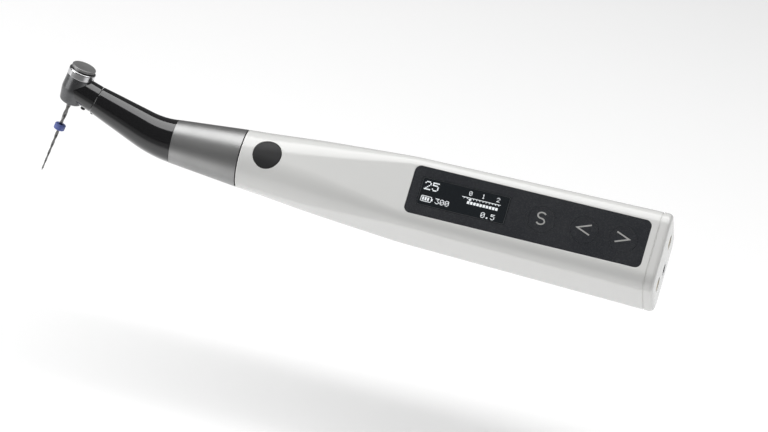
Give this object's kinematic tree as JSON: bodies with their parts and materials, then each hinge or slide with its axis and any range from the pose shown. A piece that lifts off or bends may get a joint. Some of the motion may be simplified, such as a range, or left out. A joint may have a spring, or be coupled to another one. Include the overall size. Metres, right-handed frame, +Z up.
{
  "type": "cordless endodontic motor handpiece",
  "caption": "Cordless endodontic motor handpiece with built-in apex locator: glossy squared body, control panel, swivelling bent neck and push-button head with a spiral file",
  "frame": {"origin": "centre of the flat tail face, on the body's long axis", "axes": "+X leaves through the tail, so the head is at -X; +Z is up; the bent neck and head lie in the XZ plane with the file pointing down"},
  "size_m": [0.207, 0.0344, 0.0392],
  "materials": {
    "shell_white": "glossy moulded shell",
    "sleeve_grey": "satin turned and blasted",
    "neck_black": "high-gloss black coating",
    "head_grey": "satin dark metal",
    "ring_polished": "bright polished",
    "disc_grey": "satin",
    "file_metal": "ground shiny",
    "silicone_violet": "soft matt silicone",
    "button_black": "matt soft-touch",
    "panel_dark": "printed film with a fine metallic grain",
    "window_dark": "smooth tinted display window",
    "steel": "ground",
    "brass": "plain",
    "gold": "gold plated",
    "board_green": "circuit board with solder mask",
    "frame_plastic": "moulded",
    "rubber_black": "plain",
    "cell_wrap": "heat-shrink wrap",
    "display_grey": "display module"
  },
  "bodies": {
    "handpiece": {"main_housing": "shell_white", "tail_cap": "shell_white", "tail_gasket": "shell_white", "charging_contacts": "gold", "probe_jack": "steel", "tail_board": "board_green", "inner_frame": "frame_plastic", "main_board": "board_green", "board_screws": "steel", "key_switches": "frame_plastic", "display_module": "display_grey", "control_panel": "panel_dark", "display_window": "window_dark", "battery_cell": "cell_wrap", "battery_contacts": "steel", "buzzer": "frame_plastic", "motor": "steel", "gearbox": "steel", "motor_mounts": "rubber_black", "motor_nose": "steel", "nose_bearing": "steel", "nose_seal": "rubber_black", "button_board": "board_green", "power_switch": "frame_plastic", "cover_inserts": "brass"},
    "indexing": {"index_ring": "steel"},
    "contra": {"contra_sleeve": "sleeve_grey", "coupling_tube": "steel", "neck_sheath": "neck_black", "input_carrier": "steel", "input_bearing": "steel", "neck_carrier": "steel", "neck_bearings": "steel", "head_housing": "head_grey", "front_collar": "neck_black", "neck_studs": "button_black", "cap_ring": "ring_polished", "button_spring": "steel", "chuck_bearings": "steel"},
    "motor_drive": {"output_shaft": "steel"},
    "input_drive": {"input_shaft": "steel", "input_gear": "steel"},
    "neck_drive": {"neck_shaft": "steel", "neck_gear": "steel", "head_pinion": "steel"},
    "chuck": {"chuck_gear": "steel", "chuck_spindle": "steel", "chuck_latch": "steel"},
    "file": {"file_shank": "steel", "file_blade": "file_metal"},
    "depth_stop": {"silicone_stop": "silicone_violet"},
    "release_button": {"push_button": "disc_grey"},
    "power_key": {"power_button": "button_black"},
    "key_select": {"select_key": "panel_dark"},
    "key_left": {"left_key": "panel_dark"},
    "key_right": {"right_key": "panel_dark"},
    "battery_door": {"battery_cover": "shell_white", "cover_gasket": "rubber_black", "cover_screws": "steel"}
  },
  "joints": [
    {"name": "contra_swivel", "type": "hinge", "parent": "handpiece", "child": "indexing", "pos_m": [-0.145, 0, 0], "axis": [1, 0, 0], "continuous": true},
    {"name": "contra_pull", "type": "slide", "parent": "indexing", "child": "contra", "axis": [-1, 0, 0], "range_m": [0, 0.024]},
    {"name": "motor_spin", "type": "hinge", "parent": "handpiece", "child": "motor_drive", "pos_m": [-0.14, 0, 0], "axis": [1, 0, 0], "continuous": true},
    {"name": "input_spin", "type": "hinge", "parent": "contra", "child": "input_drive", "pos_m": [-0.165, 0, 0], "axis": [1, 0, 0], "continuous": true},
    {"name": "neck_spin", "type": "hinge", "parent": "contra", "child": "neck_drive", "pos_m": [-0.1705, 0, 0], "axis": [-0.9483, 0, 0.3173], "continuous": true},
    {"name": "chuck_spin", "type": "hinge", "parent": "contra", "child": "chuck", "pos_m": [-0.20044, 0, 0.01002], "axis": [-0.2045, 0, -0.9789], "continuous": true},
    {"name": "file_pull", "type": "slide", "parent": "chuck", "child": "file", "axis": [-0.2045, 0, -0.9789], "range_m": [0, 0.012]},
    {"name": "stop_slide", "type": "slide", "parent": "file", "child": "depth_stop", "axis": [-0.2045, 0, -0.9789], "range_m": [-0.006, 0.006]},
    {"name": "release_press", "type": "slide", "parent": "contra", "child": "release_button", "axis": [-0.2045, 0, -0.9789], "range_m": [0, 0.00045], "stiffness_N_per_m": 1500, "deforming": ["button_spring"]},
    {"name": "power_press", "type": "slide", "parent": "handpiece", "child": "power_key", "axis": [0, 0.788, -0.6157], "range_m": [0, 0.0005], "stiffness_N_per_m": 600},
    {"name": "select_press", "type": "slide", "parent": "handpiece", "child": "key_select", "axis": [0.0207, 0.7878, -0.6155], "range_m": [0, 0.0003], "stiffness_N_per_m": 600},
    {"name": "left_press", "type": "slide", "parent": "handpiece", "child": "key_left", "axis": [0.0207, 0.7878, -0.6155], "range_m": [0, 0.0003], "stiffness_N_per_m": 600},
    {"name": "right_press", "type": "slide", "parent": "handpiece", "child": "key_right", "axis": [0.0207, 0.7878, -0.6155], "range_m": [0, 0.0003], "stiffness_N_per_m": 600},
    {"name": "cover_release", "type": "slide", "parent": "handpiece", "child": "battery_door", "axis": [-0.0207, 0.7878, -0.6155], "range_m": [0, 0.008]}
  ],
  "couplings": [
    {"joint": "input_spin", "follows": "motor_spin", "ratio": 1},
    {"joint": "neck_spin", "follows": "motor_spin", "ratio": -1},
    {"joint": "chuck_spin", "follows": "motor_spin", "ratio": -0.75}
  ]
}
